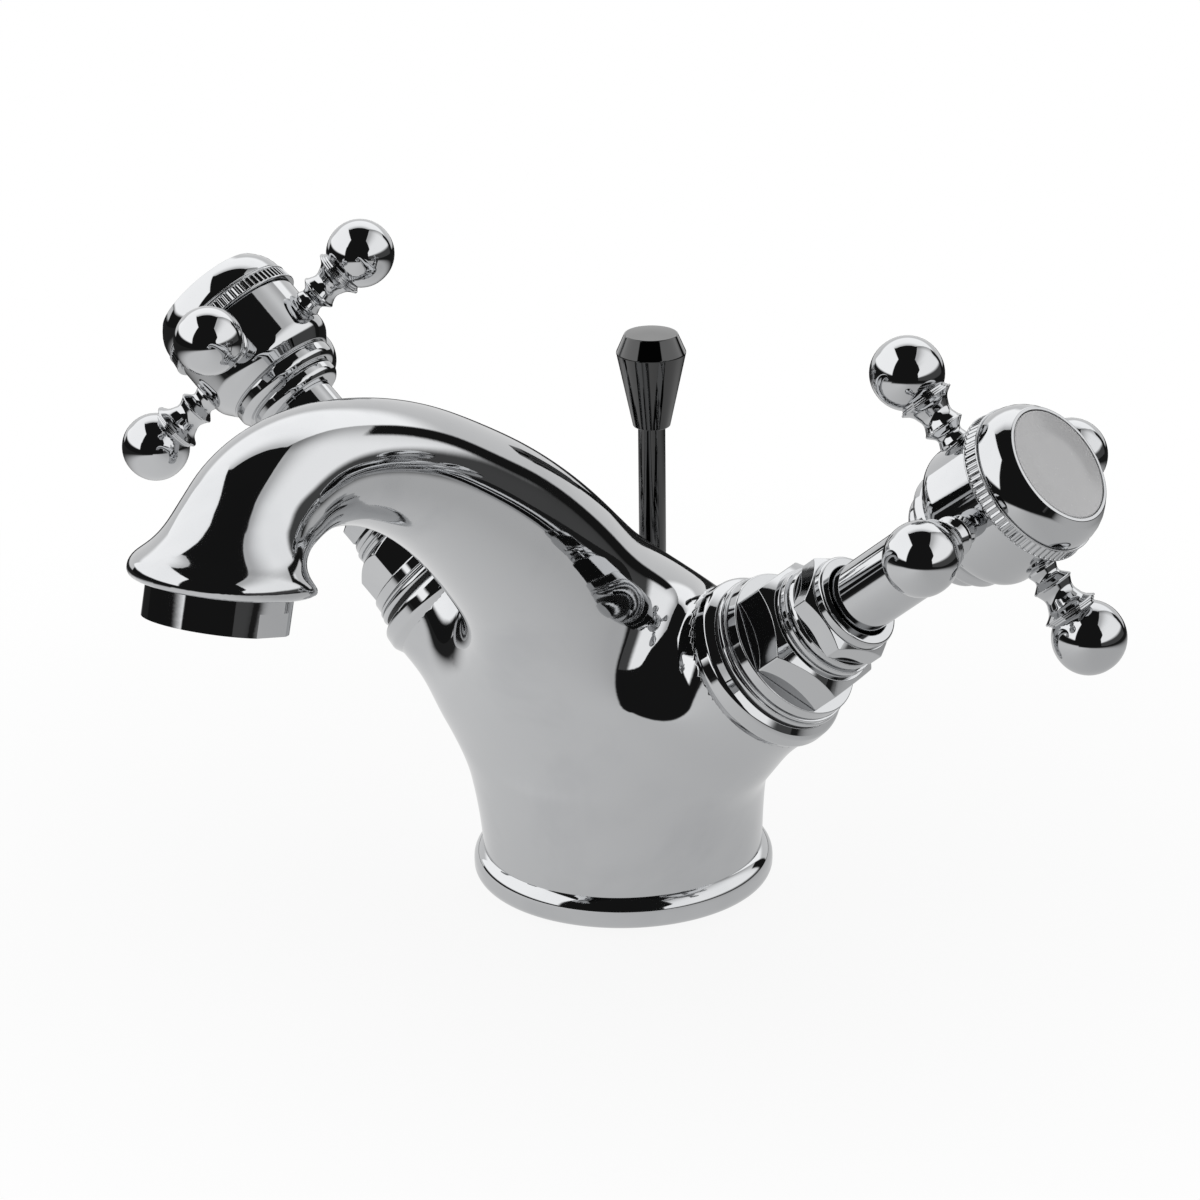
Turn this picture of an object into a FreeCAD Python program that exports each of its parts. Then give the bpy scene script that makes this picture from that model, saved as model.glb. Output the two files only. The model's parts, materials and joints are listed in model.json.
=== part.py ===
import FreeCAD, Part
import math
import os

from FreeCAD import Vector, Rotation, Placement

os.makedirs("parts", exist_ok=True)

# All sizes are millimetres.  The foot rests on z = 0, the spout points to -y, hot is on -x.

# fits and gaps
fit_gap = 0.03           # radial gap of parts that are screwed or pushed together
run_gap = 0.04           # radial gap of a turning or sliding shaft
film_gap = 0.02          # gap between the lapped ceramic discs
head_gap = 0.1           # play round and above the drive head of the spindle
overcut = 1.0            # how far a cutting tool passes the face it opens

# foot and waist
foot_r = 28.0            # widest radius of the foot moulding
foot_edge_r = 0.971 * foot_r
foot_bead_z = 2.6        # height of the widest point
foot_top_z = 6.8         # height where the moulding meets the waist
waist_r = 0.929 * foot_r
seal_out_r = 0.9 * foot_r
seal_in_r = 0.8 * foot_r
seal_h = 1.8

# aerator, measured along the outlet
aerator_r = 12.0
aerator_drop = 5.9
aerator_thread_r = 0.917 * aerator_r
aerator_thread_t = 5.0
aerator_bore_r = 0.808 * aerator_r
aerator_lip_r = 0.742 * aerator_r
aerator_lip_t = 0.9
aerator_flat_in = 0.05 * aerator_r   # how deep the spanner flats are cut
aerator_flat_from = 2.0
insert_t = 5.0
insert_hole_r = 0.083 * aerator_r
insert_pitch = 0.25 * aerator_r
insert_edge = 0.5        # least wall between a hole and the lip
washer_in_r = 0.583 * aerator_r
washer_t = 1.6

# mouth of the spout
mouth_reach = 113.7      # from the middle of the foot to the middle of the mouth's lower face
mouth_z = 93.2
mouth_lean = 16.0        # outward lean of the outlet, degrees
mouth_face_r = 1.208 * aerator_r
mouth_r = 1.308 * aerator_r
mouth_lip_r = 1.267 * aerator_r
mouth_band = 3.2         # height of the band round the mouth
mouth_wide = 0.4 * mouth_band

# spout from waist to mouth, one row for each section: its place as shares of the mouth's reach
# and height, its radius as a share of the waist's, and its lean in degrees
spine = [
    (0.000, 0.054, 1.000, 0),
    (0.000, 0.193, 0.992, 0),
    (0.014, 0.354, 0.946, 14),
    (0.070, 0.510, 0.765, 33),
    (0.172, 0.665, 0.661, 41),
    (0.256, 0.777, 0.611, 45),
    (0.360, 0.892, 0.546, 50),
    (0.446, 0.970, 0.492, 56),
    (0.567, 1.059, 0.442, 64),
    (0.706, 1.122, 0.404, 77),
    (0.814, 1.141, 0.400, 95),
    (0.890, 1.124, 0.411, 116),
    (0.942, 1.091, 0.415, 136),
    (0.976, 1.059, 0.454, 154),
]
channel_lean = 30.0      # the water channel starts at the first section that leans more
channel_r = 0.238 * waist_r
blend_r = 0.346 * waist_r    # rounding where the arms grow out of the body

# valve axis: both axes meet on x = 0
valve_lean = 40.0        # axis above the horizon, degrees
valve_y = -3.7
valve_z = 21.9           # height where both axes meet
cross_s = 105.0          # distance from the meeting point to the plane of the handle arms

# valve arm of the casting; stations count from the plane of the handle arms, minus is inward
rim_top = -57.6
rim_h = 5.8
rim_low = rim_top - rim_h
rim_r = 0.589 * foot_r
rim_neck_r = 0.909 * rim_r
rim_land_r = 0.873 * rim_r
arm_length = 40.4
arm_mid = rim_top - 0.48 * arm_length
arm_mid_r = 1.073 * rim_r
arm_root = rim_top - arm_length
arm_root_r = 1.212 * rim_r
chamber_r = 0.636 * rim_r
chamber_depth = 21.4
chamber_end = rim_top - chamber_depth

# water ways
inlet_r = 4.5            # tapping size for the supply tails
inlet_thread = 14.0
inlet_way_r = 0.8 * inlet_r
inlet_x = 11.0
inlet_top_z = 33.0
port_r = 4.0
port_length = 12.0
port_end = chamber_end - port_length
stud_r = 3.4             # tapping size for the fixing stud
stud_y = -15.0
stud_depth = 18.0
link_r = 3.4             # drilling from each valve to the spout channel
link_station = rim_top - 0.556 * chamber_depth
link_y = -13.5
link_z = 54.0

# bonnet
bonnet_seal_t = 0.6
bonnet_seat = rim_top + bonnet_seal_t
collar_h = 4.3
collar_top = bonnet_seat + collar_h
collar_r = 0.903 * rim_r
collar_step = 0.9        # how far the edges of the collar stand in
bonnet_af = 1.419 * rim_r     # across the flats
bonnet_hex_h = 7.1
bonnet_top = collar_top + bonnet_hex_h
bonnet_turn = 34.0       # how the large hexagon stands, degrees
nut_slope = 0.7          # fall of a turned nut corner for each millimetre outward
nut_land = 0.4           # flat left round what stands on a nut
neck_r = 0.453 * bonnet_af
neck_h = 2.2
neck_top = bonnet_top + neck_h
groove_at = 0.5 * neck_h     # fine line round the neck
groove_w = 0.4
groove_depth = 0.5
spigot_r = 0.708 * neck_r
spigot_h = 4.6
spigot_top = neck_top + spigot_h
thread_length = 8.4
thread_end = rim_top - thread_length
relief_length = 1.0
shoulder = thread_end - relief_length
barrel_clear = 2.0       # from the barrel's end to the floor of the chamber
barrel_end = chamber_end + barrel_clear
barrel_low_r = 0.895 * chamber_r
disc_bore_r = 0.781 * chamber_r
window_w = 0.571 * chamber_r

# gland nut
gland_flange_r = 0.962 * neck_r
gland_flange_h = 1.6
gland_flange_top = neck_top + gland_flange_h
gland_flange_step = 0.5
gland_af = 1.717 * neck_r
gland_turn = 2.0
gland_hex_h = 4.2
gland_hex_top = gland_flange_top + gland_hex_h
gland_collar_r = 1.173 * spigot_r
gland_collar_h = 1.8
gland_top = gland_hex_top + gland_collar_h
gland_round = 0.6
gland_mouth_r = 0.973 * spigot_r

# spindle and ceramic discs
spindle_r = 0.533 * spigot_r
spindle_square = 1.4 * spindle_r
head_t = 2.0
tongue_w = 3.0
tongue_h = 1.2
tongue_l = 1.39 * disc_bore_r
disc_t = 2.4
disc_port_r = 0.232 * disc_bore_r
disc_port_at = 0.561 * disc_bore_r
head_low = shoulder - head_gap - head_t
moving_low = head_low - disc_t
fixed_low = moving_low - film_gap - disc_t
ring_station = neck_top - spigot_h
ring_wire_r = 0.125 * spindle_r
ring_groove_w = 2.8 * ring_wire_r
seat_in_r = 0.659 * disc_bore_r

# handle
hub_r = 13.2
hub_front = 6.4
hub_rear = -6.6
hub_rear_r = 0.902 * hub_r
hub_round = 4.0          # length of the rounded rear edge
bead_one_r = 0.833 * hub_r
bead_two_r = 0.705 * hub_r
bead_t = 3.4
bead_step = 0.9
hub_low = hub_rear - 2 * bead_t
square_top = -0.6
socket_top = square_top + head_gap
web_t = 1.2              # hub wall between spindle and screw head
shroud_r = 0.87 * gland_mouth_r
shroud_in_r = 0.772 * shroud_r
shroud_entry = 1.6       # how deep the shroud reaches into the gland nut
shroud_low = gland_top - shroud_entry
shroud_hold = 3.2        # how deep it sits in the hub
shroud_top = hub_low + shroud_hold
square_low = shroud_top - head_gap   # the round shaft ends inside the shroud
cap_spigot_r = 0.576 * hub_r
cap_spigot_t = 2.8
knurl_t = 3.0
knurl_back_r = 1.064 * hub_r
knurl_front_r = 1.045 * hub_r
knurl_depth = 0.024 * hub_r
knurl_teeth = 72
dome_h = 5.6
dome_foot_r = knurl_front_r - knurl_depth
dome_edge_r = 0.826 * hub_r
dome_bulge = 0.4
dome_top = hub_front + knurl_t + dome_h
index_r = 0.78 * hub_r
index_t = 1.4
index_rise = 0.4
index_flat_r = 0.1 * index_r     # flat in the middle of its shallow dome
screw_r = 0.5 * spindle_r
screw_head_r = 0.273 * hub_r
screw_head_t = 2.0
screw_len = 7.0
screw_spare = 0.5        # hole left below the screw
screw_slot_w = 0.25 * screw_head_r
screw_slot_h = 0.45 * screw_head_t
screw_seat = socket_top + web_t

# handle arms, measured outward from the valve axis
arm_seat = 0.97 * hub_r
arm_out = 14.5           # from the seat to the middle of the ball
arm_reach = arm_seat + arm_out
ball_r = 6.5
arm_spigot_r = 0.338 * ball_r
arm_spigot_end = 0.659 * hub_r
arm_collar_r = 0.554 * ball_r
arm_collar_t = 1.4
arm_neck_r = 0.38 * ball_r
arm_bead_t = 1.0         # thickness of ring and flange
arm_ring_at = arm_seat + 0.25 * arm_out
arm_ring_r = 0.557 * ball_r
arm_flange_at = arm_seat + 0.6 * arm_out
arm_flange_r = 0.754 * ball_r
arm_count = 4
turn_cold = 2.7          # how far each cross is turned in the picture, degrees
turn_hot = 28.0

# lift rod, raised
rod_y = 10.6
rod_r = 2.5
rod_low_z = 40.0
rod_bore_r = 1.28 * rod_r
bush_r = 1.68 * rod_r
bush_low_z = 44.0
bush_top_z = 62.5
bush_way = 20.0          # clear height of the cut above the bush
knob_low_z = 85.0
knob_h = 17.8
knob_low_r = 1.36 * rod_r
knob_wide_z = knob_low_z + 0.787 * knob_h
knob_wide_r = 2.56 * rod_r
knob_top_z = knob_low_z + knob_h
knob_top_r = 1.9 * rod_r
knob_round = 0.8
knob_bulge = 0.2
knob_socket = 0.5 * knob_h


def turned(steps):
    """Solid turned about z: a pair (radius, height) is a straight step, four numbers are
    the middle and the end of an arc."""
    edges = []
    at = steps[0]
    for step in steps[1:] + steps[:1]:
        end = step[-2:]
        start = Vector(at[0], 0, at[1])
        stop = Vector(end[0], 0, end[1])
        if len(step) == 4:
            edges.append(Part.Arc(start, Vector(step[0], 0, step[1]), stop).toShape())
        else:
            edges.append(Part.makeLine(start, stop))
        at = end
    return Part.Face(Part.Wire(edges)).revolve(Vector(0, 0, 0), Vector(0, 0, 1), 360)


def bead(radius, step, low, high):
    """Disc with a rounded rim, its edges standing in by step."""
    edge = radius - step
    return turned([(0, low), (edge, low), (radius, (low + high) / 2, edge, high), (0, high)])


def rod(radius, low, high):
    return Part.makeCylinder(radius, high - low, Vector(0, 0, low))


def tube(outer, inner, low, high):
    return rod(outer, low, high).cut(rod(inner, low, high))


def block(length, width, low, high):
    """Box centred on z."""
    return Part.makeBox(length, width, high - low, Vector(-length / 2, -width / 2, low))


def drill(radius, x, y, high):
    """Hole tool that enters from below."""
    return Part.makeCylinder(radius, high + overcut, Vector(x, y, -overcut))


def hex_nut(across, low, high, turn, top_r):
    """Hexagon with its upper corners turned down to a circle."""
    corner = across / 2 / math.cos(math.pi / 6)
    ring = []
    for k in range(7):
        a = math.radians(turn + 60 * k)
        ring.append(Vector(corner * math.cos(a), corner * math.sin(a), low))
    nut = Part.Face(Part.makePolygon(ring)).extrude(Vector(0, 0, high - low))
    wide = corner + overcut
    fall = nut_slope * (wide - top_r)
    crown = turned([(0, low), (wide, low), (wide, high - fall), (top_r, high), (0, high)])
    return nut.common(crown)


def put(shape, placement):
    out = shape.copy()
    out.Placement = placement.multiply(out.Placement)
    return out


def section(y, z, radius, lean):
    """Circle square to the centre line; lean turns its normal towards -y."""
    disc = Part.Wire(Part.makeCircle(radius))
    disc.Placement = Placement(Vector(0, y, z), Rotation(Vector(1, 0, 0), lean))
    return disc


def valve_place(side):
    """Frame of a valve: z runs out along its axis from the plane of the handle arms."""
    lean = math.radians(valve_lean)
    along = Vector(side * math.cos(lean), 0, math.sin(lean))
    origin = Vector(0, valve_y, valve_z) + along * cross_s
    return Placement(origin, Rotation(Vector(0, 1, 0), side * (90 - valve_lean)))


def mouth_place():
    """Frame of the outlet: z runs out of the mouth."""
    return Placement(Vector(0, -mouth_reach, mouth_z), Rotation(Vector(1, 0, 0), 180 - mouth_lean))


def above_mouth(up):
    lean = math.radians(mouth_lean)
    return up * math.sin(lean) - mouth_reach, mouth_z + up * math.cos(lean)


def spine_sections():
    """The rows of the spine in millimetres: y, z, radius, lean."""
    return [(-y * mouth_reach, z * mouth_z, r * waist_r, lean) for y, z, r, lean in spine]


def skin_sections():
    """Circles from the waist to the upper edge of the mouth."""
    rings = [section(*row) for row in spine_sections()]
    y, z = above_mouth(mouth_band)
    return rings + [section(y, z, mouth_lip_r, 180 - mouth_lean)]


def spout_channel():
    """Bore swept along a smooth curve through the section centres."""
    rows = [row for row in spine_sections() if row[3] > channel_lean]
    track = [row[:2] for row in rows] + [above_mouth(mouth_band)]
    y, z, r, lean = rows[0]
    start = math.radians(lean)
    end = math.radians(mouth_lean)
    path = Part.BSplineCurve()
    path.interpolate(
        Points=[Vector(0, a, b) for a, b in track],
        InitialTangent=Vector(0, -math.sin(start), math.cos(start)),
        FinalTangent=Vector(0, -math.sin(end), -math.cos(end)),
    )
    run = Part.Wire(path.toShape())
    return run.makePipeShell([section(y, z, channel_r, lean)], True, False)


def valve_arm():
    rim_mid = (rim_top + rim_low) / 2
    return turned([
        (0, arm_root),
        (arm_root_r, arm_root),
        (arm_mid_r, arm_mid, rim_neck_r, rim_low),
        (rim_r, rim_mid, rim_land_r, rim_top),
        (0, rim_top),
    ])


def foot():
    return turned([
        (0, 0),
        (foot_edge_r, 0),
        (foot_r, foot_bead_z, waist_r, foot_top_z),
        (0, foot_top_z),
    ])


def mouth_ring():
    return turned([
        (0, 0),
        (mouth_face_r, 0),
        (mouth_r, -mouth_wide, mouth_lip_r, -mouth_band),
        (0, -mouth_band),
    ])


def casting():
    """Swan-neck body and both arms as one skin, rounded where the arms grow out."""
    skin = Part.makeLoft(skin_sections(), True, False)
    for side in (1, -1):
        skin = skin.fuse(put(valve_arm(), valve_place(side)))
    joins = []
    for edge in skin.Edges:
        kinds = [f.Surface.TypeId for f in skin.ancestorsOfType(edge, Part.Face)]
        if "Part::GeomBSplineSurface" in kinds and "Part::GeomSurfaceOfRevolution" in kinds:
            joins.append(edge)
    skin = skin.makeFillet(blend_r, joins)
    skin = skin.fuse(foot())
    skin = skin.fuse(put(mouth_ring(), mouth_place()))
    return skin.removeSplitter()


def water_ways():
    """Everything drilled or cored out of the casting."""
    cuts = [spout_channel()]
    thread = rod(aerator_thread_r + fit_gap, -aerator_thread_t - washer_t, overcut)
    cuts.append(put(thread, mouth_place()))
    for side in (1, -1):
        place = valve_place(side)
        cuts.append(put(rod(chamber_r, chamber_end, 0), place))
        cuts.append(put(rod(port_r, port_end, chamber_end + overcut), place))
        cuts.append(drill(inlet_r, side * inlet_x, valve_y, inlet_thread))
        cuts.append(drill(inlet_way_r, side * inlet_x, valve_y, inlet_top_z))
        start = place.multVec(Vector(0, 0, link_station))
        along = Vector(0, link_y, link_z) - start
        cuts.append(Part.makeCylinder(link_r, along.Length, start, along))
    cuts.append(tube(seal_out_r, seal_in_r, -overcut, seal_h))
    cuts.append(drill(stud_r, 0, stud_y, stud_depth))
    cuts.append(drill(rod_bore_r, 0, rod_y, bush_low_z + overcut))
    bush_hole = rod(bush_r + fit_gap, bush_low_z, bush_top_z + bush_way)
    bush_hole.translate(Vector(0, rod_y, 0))
    return cuts + [bush_hole]


def body():
    tools = water_ways()
    return casting().cut(tools[0].fuse(tools[1:]))


def bonnet():
    out = bead(collar_r, collar_step, bonnet_seat, collar_top)
    out = out.fuse(hex_nut(bonnet_af, collar_top, bonnet_top, bonnet_turn, neck_r + nut_land))
    groove_top = neck_top - groove_at
    groove = tube(neck_r + overcut, neck_r - groove_depth, groove_top - groove_w, groove_top)
    out = out.fuse(rod(neck_r, bonnet_top, neck_top)).cut(groove)
    out = out.fuse(rod(spigot_r, neck_top, spigot_top))
    out = out.fuse(rod(chamber_r - fit_gap, thread_end, bonnet_seat))
    out = out.fuse(rod(barrel_low_r, barrel_end, thread_end))
    out = out.cut(rod(spindle_r + run_gap, shoulder, spigot_top))
    out = out.cut(rod(disc_bore_r, barrel_end, shoulder))
    window = block(4 * chamber_r, window_w, moving_low, shoulder)
    return out.cut(window).removeSplitter()


def gland_nut():
    out = bead(gland_flange_r, gland_flange_step, neck_top, gland_flange_top)
    top_r = gland_collar_r + nut_land / 4
    out = out.fuse(hex_nut(gland_af, gland_flange_top, gland_hex_top, gland_turn, top_r))
    edge = gland_collar_r - gland_round
    out = out.fuse(turned([
        (0, gland_hex_top),
        (gland_collar_r, gland_hex_top),
        (gland_collar_r, gland_top - gland_round),
        (gland_collar_r - gland_round / 3, gland_top - gland_round / 3, edge, gland_top),
        (0, gland_top),
    ]))
    out = out.cut(rod(spigot_r + fit_gap, neck_top, spigot_top))
    return out.cut(rod(gland_mouth_r, spigot_top, gland_top)).removeSplitter()


def spindle():
    out = rod(spindle_r, head_low, square_low)
    out = out.fuse(rod(disc_bore_r - head_gap, head_low, shoulder - head_gap))
    out = out.fuse(block(spindle_square, spindle_square, square_low, square_top))
    out = out.fuse(block(tongue_l, tongue_w, head_low - tongue_h, head_low))
    half = ring_groove_w / 2
    groove = tube(spindle_r + overcut, spindle_r - 2 * ring_wire_r, ring_station - half, ring_station + half)
    hole = rod(screw_r + fit_gap, screw_seat - screw_len - screw_spare, square_top)
    return out.cut(groove).cut(hole).removeSplitter()


def spindle_ring():
    wire_at = spindle_r - ring_wire_r + run_gap / 2
    return Part.makeTorus(wire_at, ring_wire_r, Vector(0, 0, ring_station))


def moving_disc():
    out = rod(disc_bore_r - head_gap, moving_low, head_low)
    slot_low = head_low - tongue_h - fit_gap
    out = out.cut(block(tongue_l + 2 * fit_gap, tongue_w + 2 * fit_gap, slot_low, head_low))
    for sign in (1, -1):
        port = rod(disc_port_r, moving_low, head_low)
        out = out.cut(port.translated(Vector(0, sign * disc_port_at, 0)))
    return out


def fixed_disc():
    top = fixed_low + disc_t
    out = rod(disc_bore_r - fit_gap, fixed_low, top)
    for sign in (1, -1):
        port = rod(disc_port_r, fixed_low, top)
        out = out.cut(port.translated(Vector(sign * disc_port_at, 0, 0)))
    return out


def outward(shape, turn):
    """Lays a piece drawn along z out along a radius of the handle."""
    lay = Placement(Vector(0, 0, 0), Rotation(Vector(0, 1, 0), 90))
    spin = Placement(Vector(0, 0, 0), Rotation(Vector(0, 0, 1), turn))
    return put(put(shape, lay), spin)


def hub():
    barrel_from = hub_rear + hub_round
    round_mid = (hub_r - 0.27 * (hub_r - hub_rear_r), hub_rear + 0.4 * hub_round)
    out = turned([
        (0, hub_rear),
        (hub_rear_r, hub_rear),
        round_mid + (hub_r, barrel_from),
        (hub_r, hub_front),
        (0, hub_front),
    ])
    out = out.fuse(bead(bead_one_r, bead_step, hub_rear - bead_t, hub_rear))
    out = out.fuse(bead(bead_two_r, bead_step, hub_low, hub_rear - bead_t))
    out = out.cut(rod(shroud_r + fit_gap, hub_low, shroud_top))
    side = spindle_square + 2 * fit_gap
    out = out.cut(block(side, side, hub_low, socket_top))
    out = out.cut(rod(screw_r + fit_gap, hub_low, hub_front))
    out = out.cut(rod(screw_head_r + fit_gap, screw_seat, hub_front))
    out = out.cut(rod(cap_spigot_r + fit_gap, hub_front - cap_spigot_t, hub_front))
    for k in range(arm_count):
        turn = 360 / arm_count * k
        out = out.cut(outward(rod(arm_collar_r + fit_gap, arm_seat, hub_r + overcut), turn))
        out = out.cut(outward(rod(arm_spigot_r + fit_gap, arm_spigot_end, hub_r), turn))
    return out.removeSplitter()


def handle_arm():
    """Turned arm: spigot, root collar, ring, disc flange and ball."""
    half = arm_bead_t / 2
    collar_end = arm_seat + arm_collar_t
    neck_end_r = arm_ring_r - half
    flange_in = arm_flange_r - half
    ring_low = arm_ring_at - half
    ring_high = arm_ring_at + half
    flange_low = arm_flange_at - half
    flange_high = arm_flange_at + half
    ball_in = math.sqrt(ball_r ** 2 - (arm_reach - flange_high) ** 2)
    return turned([
        (0, arm_spigot_end),
        (arm_spigot_r, arm_spigot_end),
        (arm_spigot_r, arm_seat),
        (arm_collar_r, arm_seat),
        (arm_collar_r, collar_end - half),
        (neck_end_r, collar_end),
        (arm_neck_r, (collar_end + ring_low) / 2, neck_end_r, ring_low),
        (arm_ring_r, arm_ring_at, neck_end_r, ring_high),
        (arm_neck_r, (ring_high + flange_low) / 2, neck_end_r, flange_low - half / 2),
        (flange_in, flange_low),
        (arm_flange_r, arm_flange_at, flange_in, flange_high),
        (ball_in, flange_high),
        (ball_r, arm_reach, 0, arm_reach + ball_r),
    ])


def knurl_ring(radius, level):
    ring = []
    for k in range(2 * knurl_teeth):
        a = math.pi * k / knurl_teeth
        r = radius - knurl_depth * (k % 2)
        ring.append(Vector(r * math.cos(a), r * math.sin(a), level))
    return Part.makePolygon(ring + [ring[0]])


def cap():
    """Knurled band, dome above it and spigot that holds it in the hub."""
    knurl_top = hub_front + knurl_t
    rings = [knurl_ring(knurl_back_r, hub_front), knurl_ring(knurl_front_r, knurl_top)]
    out = Part.makeLoft(rings, True, True)
    bulge = ((dome_foot_r + dome_edge_r) / 2 + dome_bulge, (knurl_top + dome_top) / 2 + dome_bulge)
    out = out.fuse(turned([
        (0, knurl_top),
        (dome_foot_r, knurl_top),
        bulge + (dome_edge_r, dome_top),
        (0, dome_top),
    ]))
    out = out.fuse(rod(cap_spigot_r, hub_front - cap_spigot_t, hub_front))
    return out.cut(rod(index_r + fit_gap, dome_top - index_t, dome_top)).removeSplitter()


def index():
    low = dome_top - index_t
    crest = dome_top + index_rise
    return turned([
        (0, low),
        (index_r, low),
        (index_r, dome_top),
        ((index_r + index_flat_r) / 2, dome_top + 0.75 * index_rise, index_flat_r, crest),
        (0, crest),
    ])


def handle_screw():
    head_top = screw_seat + screw_head_t
    out = rod(screw_r, screw_seat - screw_len, screw_seat)
    out = out.fuse(rod(screw_head_r, screw_seat, head_top))
    return out.cut(block(3 * screw_head_r, screw_slot_w, head_top - screw_slot_h, head_top))


def aerator_housing():
    out = rod(aerator_thread_r, -aerator_thread_t, 0).fuse(rod(aerator_r, 0, aerator_drop))
    out = out.cut(rod(aerator_bore_r, -aerator_thread_t, aerator_drop - aerator_lip_t))
    out = out.cut(rod(aerator_lip_r, 0, aerator_drop))
    for turn in (0, 180):
        flat = block(aerator_r, 2 * aerator_r, aerator_flat_from, aerator_drop)
        flat.translate(Vector(1.5 * aerator_r - aerator_flat_in, 0, 0))
        flat.rotate(Vector(0, 0, 0), Vector(0, 0, 1), turn)
        out = out.cut(flat)
    return out.removeSplitter()


def aerator_insert():
    """Disc with a triangular pattern of jets."""
    top = aerator_drop - aerator_lip_t
    low = top - insert_t
    out = rod(aerator_bore_r - fit_gap, low, top)
    rows = int(aerator_lip_r / insert_pitch)
    for i in range(-rows, rows + 1):
        for j in range(-rows, rows + 1):
            x = insert_pitch * (i + j / 2)
            y = insert_pitch * j * math.sqrt(3) / 2
            if math.hypot(x, y) < aerator_lip_r - insert_hole_r - insert_edge:
                out = out.cut(rod(insert_hole_r, low, top).translated(Vector(x, y, 0)))
    return out


def knob():
    side_mid = ((knob_wide_r + knob_top_r) / 2 + knob_bulge, (knob_wide_z + knob_top_z) / 2)
    out = turned([
        (0, knob_low_z),
        (knob_low_r, knob_low_z),
        (knob_wide_r, knob_wide_z),
        side_mid + (knob_top_r, knob_top_z - knob_round / 2),
        (knob_top_r - knob_round, knob_top_z),
        (0, knob_top_z),
    ])
    return out.cut(rod(rod_r + fit_gap, knob_low_z, knob_low_z + knob_socket))


nodes = {}
nodes["body"] = body()
nodes["base_seal"] = tube(seal_out_r - fit_gap, seal_in_r + fit_gap, 0, seal_h)

at_rod = Placement(Vector(0, rod_y, 0), Rotation())
nodes["rod_bush"] = put(tube(bush_r, rod_r + run_gap, bush_low_z, bush_top_z), at_rod)
nodes["lift_rod"] = put(rod(rod_r, rod_low_z, knob_low_z + knob_socket), at_rod)
nodes["lift_knob"] = put(knob(), at_rod)

nodes["aerator_housing"] = put(aerator_housing(), mouth_place())
washer = tube(aerator_thread_r, washer_in_r, -aerator_thread_t - washer_t, -aerator_thread_t)
nodes["aerator_washer"] = put(washer, mouth_place())
nodes["aerator_insert"] = put(aerator_insert(), mouth_place())

for name, side, turn in (("cold", 1, turn_cold), ("hot", -1, turn_hot)):
    place = valve_place(side)
    spun = place.multiply(Placement(Vector(0, 0, 0), Rotation(Vector(0, 0, 1), turn)))
    fixed = {
        "bonnet_seal": tube(rim_land_r, chamber_r, rim_top, bonnet_seat),
        "bonnet": bonnet(),
        "gland_nut": gland_nut(),
        "seat_seal": tube(disc_bore_r - fit_gap, seat_in_r, chamber_end, fixed_low),
    }
    with_cross = {
        "fixed_disc": fixed_disc(),
        "moving_disc": moving_disc(),
        "spindle": spindle(),
        "spindle_ring": spindle_ring(),
        "hub": hub(),
        "shroud": tube(shroud_r, shroud_in_r, shroud_low, shroud_top),
        "cap": cap(),
        "index": index(),
        "screw": handle_screw(),
    }
    for k in range(arm_count):
        with_cross["arm_" + str(k + 1)] = outward(handle_arm(), 360 / arm_count * k)
    for piece, shape in fixed.items():
        nodes[name + "_" + piece] = put(shape, place)
    for piece, shape in with_cross.items():
        nodes[name + "_" + piece] = put(shape, spun)

for node, shape in nodes.items():
    if len(shape.Solids) != 1 or not shape.isValid():
        print("check", node, len(shape.Solids), shape.isValid())
    shape.exportStep("parts/" + node + ".step")
print(len(nodes), "nodes written")
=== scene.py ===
import json
import math

import bpy
import numpy as np
from mathutils import Matrix, Vector


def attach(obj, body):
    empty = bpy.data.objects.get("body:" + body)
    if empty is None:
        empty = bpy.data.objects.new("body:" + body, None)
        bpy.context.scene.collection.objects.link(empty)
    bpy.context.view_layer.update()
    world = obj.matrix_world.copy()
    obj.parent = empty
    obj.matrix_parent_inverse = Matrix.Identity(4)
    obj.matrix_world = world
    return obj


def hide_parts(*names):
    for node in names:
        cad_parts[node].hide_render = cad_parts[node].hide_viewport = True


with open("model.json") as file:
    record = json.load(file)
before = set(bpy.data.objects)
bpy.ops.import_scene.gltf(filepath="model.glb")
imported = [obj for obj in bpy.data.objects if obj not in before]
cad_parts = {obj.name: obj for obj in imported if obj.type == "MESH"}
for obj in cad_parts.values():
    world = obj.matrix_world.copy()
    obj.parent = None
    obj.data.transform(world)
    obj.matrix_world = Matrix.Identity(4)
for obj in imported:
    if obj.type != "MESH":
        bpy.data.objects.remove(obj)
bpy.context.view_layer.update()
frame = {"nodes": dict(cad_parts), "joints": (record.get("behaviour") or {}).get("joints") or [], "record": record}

scene = bpy.context.scene
scene.view_settings.view_transform = "Standard"
print("frame loaded:", len(frame["nodes"]), "nodes")


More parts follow.
